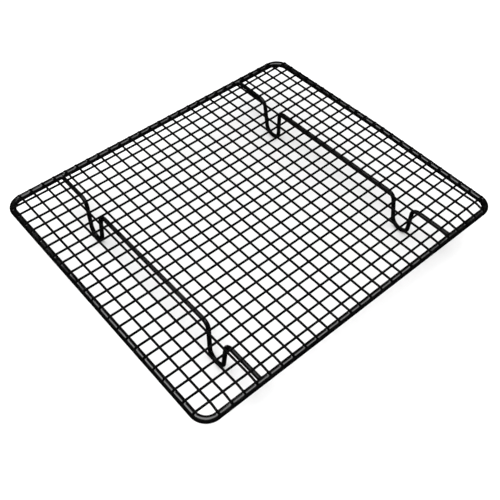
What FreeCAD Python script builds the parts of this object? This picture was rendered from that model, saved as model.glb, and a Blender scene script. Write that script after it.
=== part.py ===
import FreeCAD, Part
import math
import os

os.makedirs("parts", exist_ok=True)

# Wire cooling rack for baking: a thick bent rim wire, two bent leg wires that
# carry four U-shaped feet, and a square grid of thin wires welded across them.
# Millimetres, +Z up. X is the long side, Y the short side (the legs run along
# Y). The origin is on the floor, in the middle of the rack's footprint.

V = FreeCAD.Vector

# ---------------------------------------------------------------- dimensions
PITCH = 10.0            # grid pitch, both ways
N_LONG = 23             # thin wires that run along X (lower layer)
N_SHORT = 26            # thin wires that run along Y (upper layer)
D_GRID = 1.72           # thin wire diameter
D_RIM = 5.2             # rim wire diameter
D_LEG = 3.38            # leg wire diameter

RIM_X = 136.6           # rim axis, nominal half length
RIM_Y = 119.1           # rim axis, nominal half width
RIM_Z = 33.43           # rim axis above the floor
# corners of the rim's axis before rounding, anticlockwise from +X -Y, with the
# bend radius of each. The rim is bent by hand-set tooling, so it is not quite a
# rectangle: the +X side turns in a little from its middle towards -Y.
RIM_BENDS = [(133.85, -119.32, 10.2), (137.40, -6.5, 700.0), (137.30, 119.40, 11.5),
             (-136.04, 118.82, 10.9), (-137.46, -118.93, 10.2)]

SAG = 1.93              # the grid sits this much lower along its middle than over the rim
GAP = 0.02              # modelling gap at each welded touch
LIFT = 0.10             # the lower layer's arc stands this far off the rim, to clear its inward corner
END_PAST = 1.2          # a thin wire's cut end, past the rim's axis
STRAIGHT = 2.0          # a lower wire's end is straight from this far inside the rim's axis
BEVEL_PAST = -0.5       # the cut end is ground at 45 degrees, from this far past the rim's axis
GRID_AT = (-1.27, -0.19)  # the grid's centre on the rim
JOG_R = 6.0             # bend radius where an upper wire is set down onto the rim
JOG_IN = 2.8            # the set starts this far outside the last crossing
JOG_OUT = 1.9           # and is flat again this far inside the rim axis

LEG_X = (-89.65, 89.35)  # leg axes
# each leg is twisted a little in its bends: how far it stands off its own line
# along X at its +Y end, outer shoulder, foot and inner shoulder, then the same
# backwards to its -Y end
LEG_TWIST = ((0.1, -0.1, 0.0, -0.15, -0.55, -1.0, -1.75, -2.05),
             (1.1, 0.75, 0.0, -0.1, -0.2, 0.0, -1.1, -1.1))
FOOT_OUT = 83.9         # outer limb of a foot, at the leg's own height
FOOT_IN = 64.0          # inner limb of a foot, at the leg's own height
FOOT_TAPER = 3.1        # each limb closes in by this much on its way down
FOOT_R = 7.6            # round bottom of a foot
SHOULDER_OUT = 6.8      # bend from the leg into the outer limb
SHOULDER_IN = 6.2       # bend from the inner limb into the leg's middle run
SPLAY = 3.8             # feet lean outwards, degrees

# each welded wire lies a little off its nominal line: offset at its middle and
# drift towards its +X (or +Y) end
LONG_OFF = [-0.4, 0.7, -0.2, 0.7, -0.6, 0.7, -0.1, 0.5, -0.5, 0.0, -0.1, -0.1,
            0.7, 0.7, -0.2, -0.7, -0.2, 0.0, -0.1, 0.0, -0.2, -0.2, -0.3]
LONG_DRIFT = [-0.06, 0.10, 0.12, 0.06, 0.26, 0.41, 0.27, 0.15, 0.36, 0.17, 0.24, -0.12,
              -0.04, 0.08, -0.24, -0.19, -0.06, -0.46, -0.36, -0.18, -0.33, -0.30, -0.49]
SHORT_OFF = [0.0, -0.2, 0.0, -0.1, 0.2, 0.1, 0.2, 0.2, 0.3, 0.2, 0.3, 0.4, -0.3,
             -0.3, 0.2, 0.1, 0.0, 0.2, -0.2, 0.0, -0.1, -0.3, -0.3, -0.3, -0.3, -0.3]
SHORT_DRIFT = [0.07, -0.26, -0.07, 0.0, 0.02, -0.04, 0.25, -0.20, 0.05, -0.15, 0.07, -0.43, 0.27,
               -0.10, 0.04, -0.15, 0.08, 0.20, 0.06, -0.08, -0.03, 0.0, -0.20, -0.08, -0.15, -0.01]

# ------------------------------------------------------------------- derived
R_GRID = D_GRID / 2.0
R_RIM = D_RIM / 2.0
R_LEG = D_LEG / 2.0
Z_ON_RIM = RIM_Z + R_RIM + R_GRID + GAP      # axis of a thin wire that rests on the rim


def sag(x):
    """How far the grid hangs below the level it has over the rim."""
    return SAG * (1.0 - (x / RIM_X) ** 2)


def z_long(x):
    """Axis height of a lower-layer wire."""
    return Z_ON_RIM + LIFT - sag(x)


def z_leg(x):
    """Axis height of a leg: it touches the lower layer from below."""
    return z_long(x) - R_GRID - R_LEG - GAP


def arc3(a, m, b):
    return Part.Arc(a, m, b).toShape()


def rounded(points, radii):
    """Straight runs joined by tangent arcs. radii belong to the inner points."""
    points = [V(p) for p in points]
    edges = []
    cur = points[0]
    for k in range(1, len(points) - 1):
        p = points[k]
        u = (points[k - 1] - p).normalize()
        w = (points[k + 1] - p).normalize()
        half = math.acos(max(-1.0, min(1.0, u.dot(w)))) / 2.0
        t = radii[k - 1] / math.tan(half)
        a = p + u * t
        b = p + w * t
        bis = (u + w).normalize()
        mid = p + bis * (radii[k - 1] / math.sin(half) - radii[k - 1])
        if (a - cur).Length > 1e-4:
            edges.append(Part.LineSegment(cur, a).toShape())
        edges.append(arc3(a, mid, b))
        cur = b
    edges.append(Part.LineSegment(cur, points[-1]).toShape())
    return edges


def tube(edges, radius, start, direction):
    path = Part.Wire(edges)
    ring = Part.Wire([Part.makeCircle(radius, start, direction)])
    solid = path.makePipeShell([ring], True, False)
    if solid.ShapeType != "Solid":
        solid = Part.Solid(Part.Shell(solid.Faces))
    if solid.Volume < 0:
        solid.reverse()
    want = math.pi * radius ** 2 * path.Length
    return solid, path.Length, solid.Volume / want


def bevelled(body, at, out):
    """The wire's cut end, ground off from its top at 45 degrees. at is on the wire's axis, and out points off the rim."""
    block = Part.makeBox(8, 8, 8, V(-4, -4, 0))
    block.Placement = FreeCAD.Placement(at + V(0, 0, R_GRID), FreeCAD.Rotation(V(0, 0, 1), V(out.x, out.y, 1)))
    return max(body.cut(block).Solids, key=lambda q: q.Volume)


made = []


def save(name, solid, ratio=None):
    assert solid.isValid(), name
    assert len(solid.Solids) == 1, name
    solid.Solids[0].exportStep("parts/%s.step" % name)
    made.append((name, solid.Volume, ratio))


# ----------------------------------------------------------------------- rim
# one length of wire, closed by a butt weld in the middle of the -Y side
first, last_c = RIM_BENDS[0], RIM_BENDS[-1]
y_weld = first[1] + (last_c[1] - first[1]) * first[0] / (first[0] - last_c[0])
weld = V(0, y_weld, RIM_Z)
rim_edges = rounded([weld] + [V(x, y, RIM_Z) for x, y, _ in RIM_BENDS] + [weld], [r for _, _, r in RIM_BENDS])
rim_axis = Part.Wire(rim_edges)
rim, rim_len, rim_ratio = tube(rim_edges, R_RIM, weld, V(1, 0, 0))
save("rim_wire", rim, rim_ratio)


def rim_reach(a, b):
    """Where a straight line from a to b, both at the rim's height, meets the rim's axis."""
    cross = rim_axis.distToShape(Part.LineSegment(a, b).toShape())
    assert cross[0] < 1e-6
    return cross[1][0][0]


# ---------------------------------------------------------------------- legs
def leg(x0, side, off):
    """side is -1 for the leg at -X and +1 for the leg at +X; its feet lean that way."""
    s = math.radians(SPLAY)
    top = min(z_leg(x0 + o) for o in off)
    depth = (top - R_LEG) / math.cos(s)        # leg axis to foot axis, in the leaning plane

    def at(y, d, o):
        return V(x0 + o + side * d * math.sin(s), y, top - d * math.cos(s))

    def end(m, o):
        return at(rim_reach(V(x0 + o, 0, RIM_Z), V(x0 + o, m * 200, RIM_Z)).y, 0, o)

    pts = [end(1, off[0])]
    rad = []
    # the two lower corners of each foot meet in one round bottom
    lean = math.atan(FOOT_TAPER / depth)
    flat = (FOOT_OUT - FOOT_IN) / 2.0 - FOOT_TAPER
    bottom = min(FOOT_R, 0.995 * flat * math.tan((math.pi / 2 + lean) / 2))
    for m, (outer, low, inner) in ((1, off[1:4]), (-1, off[6:3:-1])):
        foot = [(FOOT_OUT, 0, outer, SHOULDER_OUT), (FOOT_OUT - FOOT_TAPER, depth, low, bottom),
                (FOOT_IN + FOOT_TAPER, depth, low, bottom), (FOOT_IN, 0, inner, SHOULDER_IN)]
        if m < 0:
            foot.reverse()
        for y, d, o, r in foot:
            pts.append(at(m * y, d, o))
            rad.append(r)
    pts.append(end(-1, off[7]))
    body, length, ratio = tube(rounded(pts, rad), R_LEG, pts[0], pts[1] - pts[0])
    # the ends are coped to the rim they are butt-welded to
    for edge in rim_axis.Edges:
        if edge.Curve.TypeId == "Part::GeomLine" and abs(edge.tangentAt(edge.FirstParameter).x) > 0.9:
            e0 = edge.Vertexes[0].Point
            e1 = edge.Vertexes[-1].Point
            body = body.cut(Part.makeCylinder(R_RIM + GAP, (e1 - e0).Length, e0, e1 - e0))
    body = max(body.Solids, key=lambda q: q.Volume)
    print("leg bends mm: shoulders %.1f %.1f, bottom %.2f, depth %.2f" % (SHOULDER_OUT, SHOULDER_IN, bottom, depth))
    return body, ratio


for name, x0, side, off in (("leg_wire_left", LEG_X[0], -1, LEG_TWIST[0]), ("leg_wire_right", LEG_X[1], 1, LEG_TWIST[1])):
    body, ratio = leg(x0, side, off)
    save(name, body, ratio)

# ------------------------------------------------- lower layer, along X
for j in range(N_LONG):
    y0 = (j - (N_LONG - 1) / 2.0) * PITCH + GRID_AT[1] + LONG_OFF[N_LONG - 1 - j]
    drift = LONG_DRIFT[N_LONG - 1 - j]

    def y_at(x):
        return y0 + drift * x / 125.0

    feet, tops = [], []
    for m in (-1, 1):
        hit = rim_reach(V(0, y_at(0), RIM_Z), V(m * 200, y_at(m * 200), RIM_Z))
        x = hit.x + m * BEVEL_PAST
        tops.append((V(x, y_at(x), z_long(x)), V(m, 0, 0)))
        x = hit.x - m * STRAIGHT
        feet.append(V(x, y_at(x), z_long(x)))
    # one very shallow arc from rim to rim, and a short straight end past each side
    hang = arc3(feet[0], V(0, y_at(0), z_long(0)), feet[1])
    u0 = hang.tangentAt(hang.FirstParameter)
    u1 = hang.tangentAt(hang.LastParameter)
    tip0 = feet[0] - u0 * (STRAIGHT + END_PAST)
    tip1 = feet[1] + u1 * (STRAIGHT + END_PAST)
    path = [Part.LineSegment(tip0, feet[0]).toShape(), hang, Part.LineSegment(feet[1], tip1).toShape()]
    body, length, ratio = tube(path, R_GRID, tip0, u0)
    for top, out in tops:
        body = bevelled(body, top, out)
    save("long_wire_%02d" % (j + 1), body, ratio)

# ------------------------------------------------- upper layer, along Y
last = (N_LONG - 1) / 2.0 * PITCH
for i in range(N_SHORT):
    x0 = (i - (N_SHORT - 1) / 2.0) * PITCH + GRID_AT[0] + SHORT_OFF[i]
    drift = SHORT_DRIFT[i]

    def x_at(y):
        return x0 + drift * y / 110.0

    z_in = z_long(abs(x0) - abs(drift)) + D_GRID + GAP
    z_in = max(z_in, z_long(abs(x0) + abs(drift)) + D_GRID + GAP * 0.5)
    pts, tops = [], []
    for m in (-1, 1):
        hit = rim_reach(V(x_at(0), 0, RIM_Z), V(x_at(m * 200), m * 200, RIM_Z))
        reach = abs(hit.y)
        y = m * (reach + BEVEL_PAST)
        tops.append((V(x_at(y), y, Z_ON_RIM), V(0, m, 0)))
        side = [(m * (reach + END_PAST), Z_ON_RIM), (m * (reach - JOG_OUT), Z_ON_RIM), (m * (last + JOG_IN), z_in)]
        if m > 0:
            side.reverse()
        pts += side
    pts = [V(x_at(y), y, z) for y, z in pts]
    body, length, ratio = tube(rounded(pts, [JOG_R] * 4), R_GRID, pts[0], (pts[1] - pts[0]))
    for top, out in tops:
        body = bevelled(body, top, out)
    save("short_wire_%02d" % (i + 1), body, ratio)

worst = max(made, key=lambda q: abs(q[2] - 1.0) if q[2] else 0)
print("%d pieces, steel volume %.0f mm3, worst sweep volume error %.4f (%s)" % (len(made), sum(q[1] for q in made), abs(worst[2] - 1.0), worst[0]))
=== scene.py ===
import math

import bpy
import numpy as np
from mathutils import Matrix


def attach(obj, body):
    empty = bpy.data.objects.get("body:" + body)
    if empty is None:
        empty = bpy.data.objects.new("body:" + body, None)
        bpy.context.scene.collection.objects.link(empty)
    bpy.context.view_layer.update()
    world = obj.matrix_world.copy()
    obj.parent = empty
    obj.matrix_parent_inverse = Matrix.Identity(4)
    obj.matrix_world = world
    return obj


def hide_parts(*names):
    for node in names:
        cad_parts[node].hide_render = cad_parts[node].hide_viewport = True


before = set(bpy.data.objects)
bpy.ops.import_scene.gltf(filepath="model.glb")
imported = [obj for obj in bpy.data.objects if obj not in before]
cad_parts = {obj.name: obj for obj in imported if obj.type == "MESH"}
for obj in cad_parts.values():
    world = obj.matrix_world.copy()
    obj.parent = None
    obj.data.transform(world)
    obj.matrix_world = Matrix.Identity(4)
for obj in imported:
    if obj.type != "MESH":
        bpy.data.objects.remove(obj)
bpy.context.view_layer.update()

# Everything below is worked out in millimetres and written into the meshes in
# metres. Each wire of the rack is skinned along the same centreline as its CAD
# solid. The skin is the black coating as it sits on the steel: it runs up into
# a small fillet round every weld, and it is a little uneven.
MM = 0.001

# ------------------------------------------------------------------ the camera
scene = bpy.context.scene
RIGHT = (0.75683307, -0.65356940, -0.00712413)
DOWN = (-0.50218183, -0.57448075, -0.64636312)
FORWARD = (0.41835048, 0.49276660, -0.76299670)
cam_data = bpy.data.cameras.new("camera")
cam_data.sensor_width = 36.0
cam_data.lens = 51.868
cam_data.clip_start, cam_data.clip_end = 0.01, 60.0
cam = bpy.data.objects.new("camera", cam_data)
scene.collection.objects.link(cam)
turn = Matrix(((RIGHT[0], -DOWN[0], -FORWARD[0]), (RIGHT[1], -DOWN[1], -FORWARD[1]), (RIGHT[2], -DOWN[2], -FORWARD[2])))
cam.matrix_world = Matrix.Translation((-0.24161, -0.28527, 0.42189)) @ turn.to_4x4()
scene.camera = cam

# ------------------------------------------------- the rack's own dimensions
PITCH = 10.0
N_LONG, N_SHORT = 23, 26
R_GRID, R_RIM, R_LEG = 0.86, 2.6, 1.69
RIM_X, RIM_Y, RIM_Z = 136.6, 119.1, 33.43
RIM_BENDS = [(133.85, -119.32, 10.2), (137.40, -6.5, 700.0), (137.30, 119.40, 11.5),
             (-136.04, 118.82, 10.9), (-137.46, -118.93, 10.2)]
SAG, GAP, LIFT, END_PAST, BEVEL_PAST = 1.93, 0.02, 0.10, 1.2, -0.5
GRID_AT = (-1.27, -0.19)
JOG_R, JOG_IN, JOG_OUT = 6.0, 2.8, 1.9
LEG_X = (-89.65, 89.35)
LEG_TWIST = ((0.1, -0.1, 0.0, -0.15, -0.55, -1.0, -1.75, -2.05),
             (1.1, 0.75, 0.0, -0.1, -0.2, 0.0, -1.1, -1.1))
FOOT_OUT, FOOT_IN, FOOT_TAPER, FOOT_R = 83.9, 64.0, 3.1, 7.6
SHOULDER_OUT, SHOULDER_IN, SPLAY = 6.8, 6.2, 3.8
LONG_OFF = [-0.4, 0.7, -0.2, 0.7, -0.6, 0.7, -0.1, 0.5, -0.5, 0.0, -0.1, -0.1,
            0.7, 0.7, -0.2, -0.7, -0.2, 0.0, -0.1, 0.0, -0.2, -0.2, -0.3]
LONG_DRIFT = [-0.06, 0.10, 0.12, 0.06, 0.26, 0.41, 0.27, 0.15, 0.36, 0.17, 0.24, -0.12,
              -0.04, 0.08, -0.24, -0.19, -0.06, -0.46, -0.36, -0.18, -0.33, -0.30, -0.49]
SHORT_OFF = [0.0, -0.2, 0.0, -0.1, 0.2, 0.1, 0.2, 0.2, 0.3, 0.2, 0.3, 0.4, -0.3,
             -0.3, 0.2, 0.1, 0.0, 0.2, -0.2, 0.0, -0.1, -0.3, -0.3, -0.3, -0.3, -0.3]
SHORT_DRIFT = [0.07, -0.26, -0.07, 0.0, 0.02, -0.04, 0.25, -0.20, 0.05, -0.15, 0.07, -0.43, 0.27,
               -0.10, 0.04, -0.15, 0.08, 0.20, 0.06, -0.08, -0.03, 0.0, -0.20, -0.08, -0.15, -0.01]
Z_ON_RIM = RIM_Z + R_RIM + R_GRID + GAP


def z_long(x):
    return Z_ON_RIM + LIFT - SAG * (1.0 - (x / RIM_X) ** 2)


def unit(v):
    v = np.asarray(v, float)
    return v / np.linalg.norm(v, axis=-1, keepdims=True)


# ------------------------------------------------------------------ centrelines
class Bent:
    """A wire's centreline: straight runs joined by tangent arcs."""

    def __init__(self, points, radii):
        points = [np.array(p, float) for p in points]
        self.runs, self.length, self.bends = [], 0.0, []
        cur = points[0]
        for k in range(1, len(points) - 1):
            p = points[k]
            u, w = unit(points[k - 1] - p), unit(points[k + 1] - p)
            half = math.acos(max(-1.0, min(1.0, float(u @ w)))) / 2.0
            r = radii[k - 1]
            t = r / math.tan(half)
            a, b = p + u * t, p + w * t
            centre = p + unit(u + w) * (r / math.sin(half))
            self._line(cur, a)
            angle = math.pi - 2 * half
            self.bends.append((self.length, self.length + r * angle, r))
            self.runs.append((self.length, r * angle, centre, unit(a - centre), -u, r))
            self.length += r * angle
            cur = b
        self._line(cur, points[-1])

    def _line(self, a, b):
        n = float(np.linalg.norm(b - a))
        if n > 1e-6:
            self.runs.append((self.length, n, a, unit(b - a), None, 0.0))
            self.length += n

    def at(self, s):
        s = np.atleast_1d(np.asarray(s, float))
        P, T = np.zeros((len(s), 3)), np.zeros((len(s), 3))
        for k, (s0, n, o, u, w, r) in enumerate(self.runs):
            low = s0 - (1e9 if k == 0 else 1e-9)
            high = s0 + n + (1e9 if k == len(self.runs) - 1 else 1e-9)
            m = (s >= low) & (s <= high)
            d = (s[m] - s0)[:, None]
            if w is None:
                P[m], T[m] = o + u * d, u
            else:
                a = d / r
                P[m] = o + r * (u * np.cos(a) + w * np.sin(a))
                T[m] = -u * np.sin(a) + w * np.cos(a)
        return P, T


class Sagging:
    """A lower wire: straight in plan, and hanging in one very shallow arc."""

    def __init__(self, y0, drift, x_low, x_high):
        self.y0, self.slope, self.x_low = y0, drift / 125.0, x_low
        self.length, self.bends = x_high - x_low, []

    def at(self, s):
        x = self.x_low + np.atleast_1d(np.asarray(s, float))
        P = np.stack([x, self.y0 + self.slope * x, z_long(x)], 1)
        T = unit(np.stack([np.ones_like(x), np.full_like(x, self.slope), 2 * SAG * x / RIM_X ** 2], 1))
        return P, T


def nearest(path, q, low=0.0, high=None):
    """The place along a path that is nearest to q."""
    high = path.length if high is None else high
    for _ in range(5):
        s = np.linspace(low, high, 160)
        d = np.linalg.norm(path.at(s)[0] - q, axis=1)
        k, step = int(d.argmin()), s[1] - s[0]
        low, high = s[k] - step, s[k] + step
    return float(s[k])


(x1, y1, _), (x2, y2, _) = RIM_BENDS[0], RIM_BENDS[-1]
weld_at = (0, y1 + (y2 - y1) * x1 / (x1 - x2), RIM_Z)
rim_path = Bent([weld_at] + [(x, y, RIM_Z) for x, y, _ in RIM_BENDS] + [weld_at], [r for _, _, r in RIM_BENDS])
rim_s = np.arange(0, rim_path.length, 0.25)
rim_p = rim_path.at(rim_s)[0]


def rim_hit(along, at, side):
    """Where a wire that lies along X or Y passes over the rim's axis, on that side, in plan. at(v) is the wire's other coordinate."""
    a, b = (0, 1) if along == "x" else (1, 0)
    miss = rim_p[:, b] - at(rim_p[:, a])
    miss[(rim_p[:, a] * side) < 60] = np.nan
    k = int(np.nanargmin(np.abs(miss)))
    lo, hi = rim_s[k] - 0.6, rim_s[k] + 0.6
    f = lambda s: (lambda p: p[b] - at(p[a]))(rim_path.at(s % rim_path.length)[0][0])
    f_lo = f(lo)
    for _ in range(50):
        mid = (lo + hi) / 2
        if (f(mid) > 0) == (f_lo > 0):
            lo = mid
        else:
            hi = mid
    s = ((lo + hi) / 2) % rim_path.length
    return s, rim_path.at(s)[0][0]


# ------------------------------------------------------------- skinning a wire
def noise_on(s, th, seed, wave, turns=2):
    """Smooth, repeatable unevenness over a wire's skin, from -1 to 1 or so. s runs along it and th round it."""
    rng = np.random.default_rng(seed)
    total = np.zeros(np.broadcast(s, th).shape)
    for m in range(7):
        w = wave * rng.uniform(0.6, 2.2)
        total = total + rng.uniform(0.5, 1.0) * np.cos(2 * math.pi * s / w + int(rng.integers(0, turns + 1)) * th + rng.uniform(0, 2 * math.pi))
    return total / 3.0


def smooth_min(a, b, k):
    h = np.clip(k - np.abs(a - b), 0, None) / k
    return np.minimum(a, b) - h * h * k / 4.0


def stations(path, contacts, extra, gap, bend_step, closed=False, ends=True):
    """Where a wire's rings go: close together at welds and in bends, wider apart between."""
    want = list(extra)
    for c in contacts:
        want += [c["s"] + o for o in c["at"]]
    for a, b, r in path.bends:
        if r < 100:
            n = max(3, int(math.ceil((b - a) / bend_step)))
            want += list(np.linspace(a, b, n + 1))
    want = np.array(sorted(want))
    if closed:
        want = np.sort(want % path.length)
    else:
        want = want[(want > 0.02) & (want < path.length - 0.02)]
        want = np.concatenate([[0.0], want, [path.length]])
    keep = [want[0]]
    for s in want[1:]:
        if s - keep[-1] > 0.16:
            keep.append(s)
    if closed:
        if keep[0] + path.length - keep[-1] < 0.16:
            keep.pop()
        keep.append(keep[0] + path.length)
    else:
        keep[-1] = path.length
    out = []
    for a, b in zip(keep[:-1], keep[1:]):
        n = max(1, int(math.ceil((b - a) / gap)))
        out += list(a + (b - a) * np.arange(n) / n)
    if not closed:
        out.append(keep[-1])
    return np.array(out)


def skin(name, path, ref, radius, sides, contacts, *, first=0.0, gap=3.4, bend_step=0.9, closed=False,
         round_end=0.28, seed=1, uneven=0.012, wave=9.0, shape=None, strips=8, lift=None, cuts=()):
    """The closed mesh of one wire. ref is a direction that the wire never points in; a ring starts there, turned by first."""
    s = stations(path, contacts, [], gap, bend_step, closed)
    shrink = np.zeros(len(s))
    if not closed:
        # the cut ends are rounded over by the coating
        a = np.linspace(0, math.pi / 2, 5)
        cap = round_end * np.sin(a)
        inner = s[(s > round_end + 0.12) & (s < path.length - round_end - 0.12)]
        s = np.concatenate([round_end - cap[::-1], inner, path.length - round_end + cap])
        fall = round_end * (1 - np.cos(a))
        shrink = np.concatenate([fall[::-1], np.zeros(len(inner)), fall])
    C, T = path.at(s)
    ref = np.asarray(ref, float)
    e1 = unit(ref - (T @ ref)[:, None] * T)
    e2 = np.cross(T, e1)
    th = first + 2 * math.pi * np.arange(sides) / sides
    N = e1[:, None, :] * np.cos(th)[None, :, None] + e2[:, None, :] * np.sin(th)[None, :, None]
    base = radius - 0.012 - shrink[:, None] - uneven * (0.5 + 0.5 * noise_on(s[:, None], th[None, :], seed, wave)).clip(0, 1.2)
    if shape is not None:
        base = base + shape(s, th, C, N)
    if closed:  # the unevenness meets itself where the loop closes
        base = base * np.ones((len(s), sides))
        blend = np.clip((path.length - s) / 12.0, 0, 1)[:, None]
        base = base * blend + base[:1] * (1 - blend)
    r = np.array(base) * np.ones((len(s), sides))
    r0 = r.copy()
    for c in contacts:
        near = np.abs(C - c["q"]).max(1) < radius + c["R"] + 4.0
        if not near.any():
            continue
        rn, bn, Cn, Nn = r0[near].copy(), r0[near], C[near][:, None, :], N[near]
        for _ in range(14):
            d = Cn + Nn * rn[..., None] - c["q"]
            t = np.clip(d @ c["u"], c["low"], c["high"])
            other = np.linalg.norm(d - t[..., None] * c["u"], axis=2) - c["R"]
            f = smooth_min(rn - bn, other, c["k"])
            rn = np.minimum(rn - f, bn + c["cap"])
        r[near] = np.maximum(r[near], rn)
    V = C[:, None, :] + N * r[..., None]
    rings, n = len(s), sides
    verts = V.reshape(-1, 3)
    i = np.arange(rings if closed else rings - 1)[:, None]
    k = np.arange(n)[None, :]
    i2, k2 = (i + 1) % rings, (k + 1) % n
    quads = np.stack([i * n + k, i * n + k2, i2 * n + k2, i2 * n + k], -1).reshape(-1, 4)
    faces = quads.tolist()
    if not closed:
        # each end is closed by one smaller ring and a middle point
        for at, end in ((0, C[0] - T[0] * 0.02), (rings - 1, C[-1] + T[-1] * 0.0)):
            b = len(verts)
            small = end + (V[at] - C[at]) * 0.5
            verts = np.concatenate([verts, small, end[None, :]])
            for q in range(n):
                q2 = (q + 1) % n
                if at == 0:
                    faces.append([at * n + q2, at * n + q, b + q, b + q2])
                    faces.append([b + q2, b + q, b + n])
                else:
                    faces.append([at * n + q, at * n + q2, b + q2, b + q])
                    faces.append([b + q, b + q2, b + n])
    if lift is not None:
        verts = lift(verts)
    for along, m, edge, z_axis in cuts:
        # the cut end is ground off at 45 degrees from the wire's top: the rings near it are drawn together to lean that way
        out = m * (verts[:, along] - edge)
        face = np.minimum(BEVEL_PAST + radius - (verts[:, 2] - z_axis), END_PAST)
        start = BEVEL_PAST - 0.9
        leaning = start + (out - start) / (END_PAST - start) * (face - start)
        verts[:, along] = np.where(out > start, edge + m * leaning, verts[:, along])
    me = bpy.data.meshes.new(name)
    me.from_pydata((verts * MM).tolist(), [], faces)
    me.polygons.foreach_set("use_smooth", [True] * len(me.polygons))
    lay_out(me, s, path.length, n, rings, closed, strips)
    me.update()
    ob = bpy.data.objects.new(name, me)
    scene.collection.objects.link(ob)
    return ob


def lay_out(me, s, length, n, rings, closed, strips):
    """A map for textures: the wire's skin unrolled, and cut into strips that lie above each other."""
    edge = 0.004
    total = length * 1.0001
    per = total / strips
    uv = np.zeros((len(me.loops), 2), np.float32)
    count = np.zeros(len(me.polygons), np.int32)
    me.polygons.foreach_get("loop_total", count)
    start = np.zeros(len(me.polygons), np.int32)
    me.polygons.foreach_get("loop_start", start)
    rows = rings if closed else rings - 1
    i = np.repeat(np.arange(rows), n)
    k = np.tile(np.arange(n), rows)
    s_next = np.append(s[1:], s[0] + length if closed else s[-1])
    a, b = s[i], s_next[i]
    which = np.minimum(((a + b) / 2 / per).astype(int), strips - 1)
    # a strip is as long as the rings that belong to it
    lo = np.full(strips, 1e9); hi = np.full(strips, -1e9)
    np.minimum.at(lo, which, a); np.maximum.at(hi, which, b)
    x0 = edge + (1 - 2 * edge) * (a - lo[which]) / (hi - lo)[which]
    x1 = edge + (1 - 2 * edge) * (b - lo[which]) / (hi - lo)[which]
    band = (1.0 - (0.0 if closed else 0.06)) / strips
    y0 = which * band + edge + (band - 2 * edge) * k / n
    y1 = which * band + edge + (band - 2 * edge) * (k + 1) / n
    f = start[: rows * n]
    uv[f], uv[f + 1] = np.stack([x0, y0], 1), np.stack([x0, y1], 1)
    uv[f + 2], uv[f + 3] = np.stack([x1, y1], 1), np.stack([x1, y0], 1)
    if not closed:  # the two cut ends, as discs in a corner strip
        at = rows * n
        for e in range(2):
            cx, cy, big = 0.03 + 0.06 * e, 0.97, 0.024
            for q in range(n):
                t0, t1 = 2 * math.pi * q / n, 2 * math.pi * (q + 1) / n
                ring = lambda t, m: (cx + big * m * math.cos(t), cy + big * m * math.sin(t))
                quad, tri = start[at], start[at + 1]
                first, second = (t1, t0) if e == 0 else (t0, t1)
                for o, p in enumerate((ring(first, 1), ring(second, 1), ring(second, 0.5), ring(first, 0.5))):
                    uv[quad + o] = p
                for o, p in enumerate((ring(first, 0.5), ring(second, 0.5), (cx, cy))):
                    uv[tri + o] = p
                at += 2
    layer = me.uv_layers.new(name="OFBake")
    layer.uv.foreach_set("vector", uv.ravel())


# ----------------------------------------------------------------- the wires
rng = np.random.default_rng(7)
NEAR_WELD = (-1.25, -0.92, -0.6, -0.3, 0.0, 0.3, 0.6, 0.92, 1.25)
NEAR_RIM = (-2.6, -2.1, -1.65, -1.2, -0.8, -0.4, 0.0, 0.4, 0.8, 1.2, 1.5)
longs, shorts = [], []
for j in range(N_LONG):
    y0 = (j - (N_LONG - 1) / 2.0) * PITCH + GRID_AT[1] + LONG_OFF[N_LONG - 1 - j]
    drift = LONG_DRIFT[N_LONG - 1 - j]
    hits = [rim_hit("x", lambda x: y0 + drift * x / 125.0, m) for m in (-1, 1)]
    xs = [h[1][0] + m * END_PAST for m, h in zip((-1, 1), hits)]
    longs.append({"y0": y0, "drift": drift, "hits": hits, "path": Sagging(y0, drift, *xs), "contacts": []})

last = (N_LONG - 1) / 2.0 * PITCH
for i in range(N_SHORT):
    x0 = (i - (N_SHORT - 1) / 2.0) * PITCH + GRID_AT[0] + SHORT_OFF[i]
    drift = SHORT_DRIFT[i]
    z_in = max(z_long(abs(x0) - abs(drift)) + 2 * R_GRID + GAP, z_long(abs(x0) + abs(drift)) + 2 * R_GRID + GAP * 0.5)
    hits = [rim_hit("y", lambda y: x0 + drift * y / 110.0, m) for m in (-1, 1)]
    pts = []
    for m, h in zip((-1, 1), hits):
        reach = abs(h[1][1])
        side = [(m * (reach + END_PAST), Z_ON_RIM), (m * (reach - JOG_OUT), Z_ON_RIM), (m * (last + JOG_IN), z_in)]
        pts += side[::-1] if m > 0 else side
    pts = [(x0 + drift * y / 110.0, y, z) for y, z in pts]
    shorts.append({"x0": x0, "drift": drift, "hits": hits, "path": Bent(pts, [JOG_R] * 4), "contacts": []})

rim_contacts, leg_contacts = [], ([], [])


def meet(c1, p1, s1, r1, c2, p2, s2, r2, k, cap, at1, at2, lim1=(-6, 6), lim2=(-6, 6)):
    """Two welded wires: each one's skin is drawn towards the other's. lim is how far each wire reaches either way from the weld."""
    q1, t1 = p1.at(s1)
    q2, t2 = p2.at(s2)
    c1.append({"s": s1, "at": at1, "q": q2[0], "u": t2[0], "R": r2, "k": k, "cap": cap, "low": lim2[0], "high": lim2[1]})
    c2.append({"s": s2, "at": at2, "q": q1[0], "u": t1[0], "R": r1, "k": k * 0.93, "cap": cap, "low": lim1[0], "high": lim1[1]})


for a in longs:
    for b in shorts:
        x = b["x0"]
        for _ in range(4):
            y = a["y0"] + a["drift"] * x / 125.0
            x = b["x0"] + b["drift"] * y / 110.0
        s1 = x - a["path"].x_low
        s2 = nearest(b["path"], np.array([x, y, z_long(x) + 2 * R_GRID + GAP]), y + 119, y + 123)
        k = float(rng.uniform(0.56, 0.80))
        meet(a["contacts"], a["path"], s1, R_GRID, b["contacts"], b["path"], s2, R_GRID, k, 0.26, NEAR_WELD, NEAR_WELD)

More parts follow.
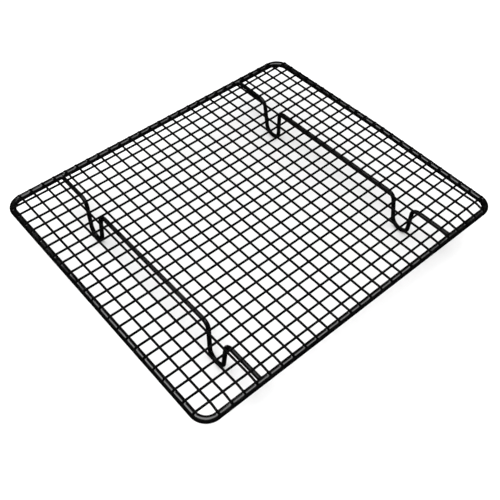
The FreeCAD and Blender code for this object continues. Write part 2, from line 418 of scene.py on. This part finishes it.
tip = END_PAST - 0.55
for wires in (longs, shorts):
    for w in wires:
        for m, (s_rim, p) in zip((-1, 1), w["hits"]):
            s1 = nearest(w["path"], np.array([p[0], p[1], Z_ON_RIM]), *((0, 6) if m < 0 else (w["path"].length - 6, w["path"].length)))
            k = float(rng.uniform(0.75, 1.15))
            at = NEAR_RIM if m > 0 else tuple(-o for o in NEAR_RIM[::-1])
            lim = (-6, tip) if m > 0 else (-tip, 6)
            meet(w["contacts"], w["path"], s1, R_GRID, rim_contacts, rim_path, s_rim, R_RIM, k, 0.34,
                 at, (-1.5, -1.1, -0.75, -0.4, 0.0, 0.4, 0.75, 1.1, 1.5), lim1=lim)

legs = []
for n, (x0, side) in enumerate(((LEG_X[0], -1), (LEG_X[1], 1))):
    lean_out = math.radians(SPLAY)
    off = LEG_TWIST[n]
    top = min(z_long(x0 + o) for o in off) - R_GRID - R_LEG - GAP
    depth = (top - R_LEG) / math.cos(lean_out)

    def at(y, d, o):
        return (x0 + o + side * d * math.sin(lean_out), y, top - d * math.cos(lean_out))

    taper = math.atan(FOOT_TAPER / depth)
    flat = (FOOT_OUT - FOOT_IN) / 2.0 - FOOT_TAPER
    bottom = min(FOOT_R, 0.995 * flat * math.tan((math.pi / 2 + taper) / 2))
    # the ends run a little way into the rim that they are welded to
    inside = R_RIM - 0.9
    ends = [rim_hit("y", lambda y: x0 + o + 0 * y, m) for m, o in ((1, off[0]), (-1, off[7]))]
    pts, rad = [at(ends[0][1][1] - inside, 0, off[0])], []
    for m, (outer, low, inner) in ((1, off[1:4]), (-1, off[6:3:-1])):
        foot = [(FOOT_OUT, 0, outer, SHOULDER_OUT), (FOOT_OUT - FOOT_TAPER, depth, low, bottom),
                (FOOT_IN + FOOT_TAPER, depth, low, bottom), (FOOT_IN, 0, inner, SHOULDER_IN)]
        for y, d, o, r in (foot if m > 0 else foot[::-1]):
            pts.append(at(m * y, d, o))
            rad.append(r)
    pts.append(at(ends[1][1][1] + inside, 0, off[7]))
    path = Bent(pts, rad)
    s_all = np.arange(0, path.length, 0.2)
    p_all = path.at(s_all)[0]
    for w in longs:
        x = x0
        for _ in range(3):
            y = w["y0"] + w["drift"] * x / 125.0
            x = float(p_all[np.argmin(np.abs(p_all[:, 1] - y) + 99.0 * (p_all[:, 2] < top - 1.5)), 0])
        q = np.array([x, y, z_long(x)])
        d = np.linalg.norm(p_all - q, axis=1)
        if d.min() < R_GRID + R_LEG + 0.12:
            s_leg = nearest(path, q, s_all[int(d.argmin())] - 1, s_all[int(d.argmin())] + 1)
            meet(w["contacts"], w["path"], x - w["path"].x_low, R_GRID, leg_contacts[n], path, s_leg, R_LEG,
                 float(rng.uniform(0.7, 1.0)), 0.32, (-1.6, -1.2) + NEAR_WELD + (1.6,), (-1.5, -1.1, -0.75, -0.4, 0.0, 0.4, 0.75, 1.1, 1.5))
    for s_leg, m, lim, (s_rim, _) in ((0.0, 1, (0, 9), ends[0]), (path.length, -1, (-9, 0), ends[1])):
        meet(leg_contacts[n], path, s_leg, R_LEG, rim_contacts, rim_path, s_rim, R_RIM, 0.7, 0.35,
             tuple(o * (1 if m > 0 else -1) for o in (0.5, 1.0, 1.4, 1.8, 2.2, 2.7, 3.3, 4.0)),
             (-3.6, -3.0, -2.5, -2.0, -1.5, -1.0, -0.5, 0, 0.5, 1.0, 1.5, 2.0, 2.5, 3.0, 3.6), lim1=lim)
    legs.append({"path": path, "ref": (-math.cos(lean_out), 0, -side * math.sin(lean_out)), "side": side})


def rim_shape(s, th, C, N):
    """The flash left by the rim's butt weld, dressed nearly flush: a narrow raised band."""
    d = np.minimum(s, rim_path.length - s)[:, None]
    band = 0.05 * np.exp(-(d / 0.55) ** 2) - 0.05 * np.exp(-((d - 1.5) / 0.6) ** 2)
    return band * np.ones((1, len(th))) - 0.05


def leg_shape(s, th, C, N):
    """A bent wire is a touch flatter across its tight bends."""
    out = np.zeros((len(s), len(th)))
    for a, b, r in leg_path_now.bends:
        w = np.clip(1 - np.abs((s - (a + b) / 2) / ((b - a) / 2 + 2.0)), 0, 1)
        w = (w * w * (3 - 2 * w))[:, None]
        out -= 0.045 * w * np.sin(th)[None, :] ** 2
    return out


# -------------------------------------------------------------------- finishes
def coating(name, seed, tone, rough, shine, bump, wear=0.0):
    """A black baked-on coating over steel wire. Its gloss is uneven, its surface has a fine orange peel, and it is
    scuffed where the wear is above nothing: under the feet."""
    m = bpy.data.materials.new(name)
    m.use_nodes = True
    nt = m.node_tree
    nodes, links = nt.nodes, nt.links
    nodes.clear()
    out = nodes.new("ShaderNodeOutputMaterial")
    bsdf = nodes.new("ShaderNodeBsdfPrincipled")
    links.new(bsdf.outputs["BSDF"], out.inputs["Surface"])
    where = nodes.new("ShaderNodeTexCoord")
    shift = nodes.new("ShaderNodeVectorMath")
    shift.operation = "ADD"
    shift.inputs[1].default_value = (0.37 * seed, 0.11 * seed, 0.23 * seed)
    links.new(where.outputs["Object"], shift.inputs[0])

    def noise(scale, detail, rough_=0.5, distortion=0.0):
        t = nodes.new("ShaderNodeTexNoise")
        t.inputs["Scale"].default_value = scale
        t.inputs["Detail"].default_value = detail
        t.inputs["Roughness"].default_value = rough_
        t.inputs["Distortion"].default_value = distortion
        links.new(shift.outputs[0], t.inputs["Vector"])
        return t.outputs["Fac"]

    def ramp(fac, a, b, va, vb):
        t = nodes.new("ShaderNodeMapRange")
        t.interpolation_type = "SMOOTHSTEP"
        for key, v in (("From Min", a), ("From Max", b), ("To Min", va), ("To Max", vb)):
            t.inputs[key].default_value = v
        links.new(fac, t.inputs["Value"])
        return t.outputs["Result"]

    def math_(op, a, b):
        t = nodes.new("ShaderNodeMath")
        t.operation = op
        for k, v in enumerate((a, b)):
            if isinstance(v, (int, float)):
                t.inputs[k].default_value = v
            else:
                links.new(v, t.inputs[k])
        return t.outputs[0]

    def mix(fac, a, b):
        t = nodes.new("ShaderNodeMix")
        t.data_type = "RGBA"
        links.new(fac, t.inputs[0])
        for k, v in ((6, a), (7, b)):
            if isinstance(v, tuple):
                t.inputs[k].default_value = (*v, 1)
            else:
                links.new(v, t.inputs[k])
        return t.outputs[2]

    mottle = noise(170.0, 5.0, 0.6, 0.3)
    cloud = noise(34.0, 3.0, 0.5)
    peel = noise(1500.0, 2.0, 0.45)
    speck = noise(760.0, 2.0, 0.5, 0.6)

    dark = tuple(tone * k for k in (0.62, 0.62, 0.64))
    pale = tuple(tone * k for k in (1.42, 1.38, 1.36))
    colour = mix(ramp(mottle, 0.32, 0.68, 0.0, 1.0), dark, pale)
    spots = ramp(speck, 0.70, 0.78, 0.0, 0.55)
    colour = mix(spots, colour, (tone * 4.2, tone * 4.1, tone * 4.0))
    gloss = math_("ADD", ramp(mottle, 0.3, 0.7, rough - 0.06, rough + 0.06), ramp(cloud, 0.3, 0.7, -0.035, 0.045))
    gloss = math_("ADD", gloss, math_("MULTIPLY", spots, 0.18))
    if wear:
        split = nodes.new("ShaderNodeSeparateXYZ")
        links.new(where.outputs["Object"], split.inputs[0])
        low = ramp(split.outputs["Z"], 0.00012, 0.00085, 1.0, 0.0)
        rubbed = math_("MULTIPLY", low, ramp(mottle, 0.36, 0.56, 0.25, wear))
        colour = mix(rubbed, colour, (0.085, 0.082, 0.08))
        gloss = math_("ADD", gloss, math_("MULTIPLY", rubbed, 0.2))
    links.new(colour, bsdf.inputs["Base Color"])
    links.new(gloss, bsdf.inputs["Roughness"])
    bsdf.inputs["Metallic"].default_value = 0.0
    bsdf.inputs["IOR"].default_value = 1.5
    bsdf.inputs["Specular IOR Level"].default_value = shine

    b1 = nodes.new("ShaderNodeBump")
    b1.inputs["Strength"].default_value = 1.0
    b1.inputs["Distance"].default_value = bump
    links.new(peel, b1.inputs["Height"])
    b2 = nodes.new("ShaderNodeBump")
    b2.inputs["Strength"].default_value = 1.0
    b2.inputs["Distance"].default_value = bump * 4.0
    links.new(mottle, b2.inputs["Height"])
    links.new(b1.outputs["Normal"], b2.inputs["Normal"])
    links.new(b2.outputs["Normal"], bsdf.inputs["Normal"])
    return m


FINISH = {
    "rim_coating": coating("rim_black", 1, 0.0016, 0.20, 0.80, 0.000012),
    "leg_coating": coating("leg_black", 2, 0.0014, 0.26, 0.24, 0.000012, wear=0.9),
    "grid_coating": coating("grid_black", 3, 0.0012, 0.40, 0.06, 0.000008),
}


def place(ob, node, slot):
    ob.data.materials.append(FINISH[slot])
    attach(ob, "root")
    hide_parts(node)


place(skin("rim_coated", rim_path, (0, 0, 1), R_RIM, 32, rim_contacts, gap=2.4, bend_step=0.95, closed=True,
           seed=11, uneven=0.03, wave=26.0, shape=rim_shape, strips=8), "rim_wire", "rim_coating")
for n, (leg, node) in enumerate(zip(legs, ("leg_wire_left", "leg_wire_right"))):
    leg_path_now = leg["path"]
    place(skin(node.replace("wire", "coated"), leg["path"], leg["ref"], R_LEG, 20, leg_contacts[n], gap=2.6, bend_step=0.85,
               round_end=0.2, seed=21 + n, uneven=0.02, wave=18.0, shape=leg_shape, strips=6), node, "leg_coating")
for j, w in enumerate(longs):
    cuts = [(0, m, h[1][0], z_long(h[1][0] + m * BEVEL_PAST)) for m, h in zip((-1, 1), w["hits"])]
    place(skin("long_coated_%02d" % (j + 1), w["path"], (0, 1, 0), R_GRID, 14, w["contacts"], first=math.pi / 2,
               seed=100 + j, strips=8, cuts=cuts), "long_wire_%02d" % (j + 1), "grid_coating")
for i, w in enumerate(shorts):
    cuts = [(1, m, h[1][1], Z_ON_RIM) for m, h in zip((-1, 1), w["hits"])]
    place(skin("short_coated_%02d" % (i + 1), w["path"], (1, 0, 0), R_GRID, 14, w["contacts"], first=math.pi / 2,
               seed=200 + i, strips=7, cuts=cuts), "short_wire_%02d" % (i + 1), "grid_coating")

# ---------------------------------------------------------- floor and light
floor_me = bpy.data.meshes.new("floor")
side = 6.0
floor_me.from_pydata([(-side, -side, 0), (side, -side, 0), (side, side, 0), (-side, side, 0)], [], [(0, 1, 2, 3)])
floor = bpy.data.objects.new("floor", floor_me)
scene.collection.objects.link(floor)
paper = bpy.data.materials.new("paper")
paper.use_nodes = True
paper.node_tree.nodes["Principled BSDF"].inputs["Base Color"].default_value = (0.80, 0.80, 0.80, 1)
paper.node_tree.nodes["Principled BSDF"].inputs["Roughness"].default_value = 0.9
paper.node_tree.nodes["Principled BSDF"].inputs["Specular IOR Level"].default_value = 0.0
floor_me.materials.append(paper)
floor.visible_glossy = False

world = bpy.data.worlds.new("studio")
scene.world = world
world.use_nodes = True
world.node_tree.nodes["Background"].inputs["Color"].default_value = (1.0, 1.0, 1.0, 1)
world.node_tree.nodes["Background"].inputs["Strength"].default_value = 0.78
world.cycles_visibility.glossy = False


def softbox(name, x, y, z, wide, deep, radiance):
    """A long diffused light that hangs over the rack and faces straight down."""
    data = bpy.data.lights.new(name, "AREA")
    data.shape = "RECTANGLE"
    data.size, data.size_y = wide, deep
    data.energy = radiance * math.pi * wide * deep
    ob = bpy.data.objects.new(name, data)
    scene.collection.objects.link(ob)
    ob.location = (x, y, z)
    ob.visible_camera = False
    return ob


softbox("strip_along_x", 0.05, -0.17, 0.57, 0.85, 0.32, 3.1)
softbox("strip_along_y", -0.20, 0.03, 0.57, 0.36, 0.75, 4.0)

scene.view_settings.view_transform = "Standard"
scene.view_settings.look = "None"
scene.view_settings.exposure = 0.0
scene.view_settings.gamma = 1.0
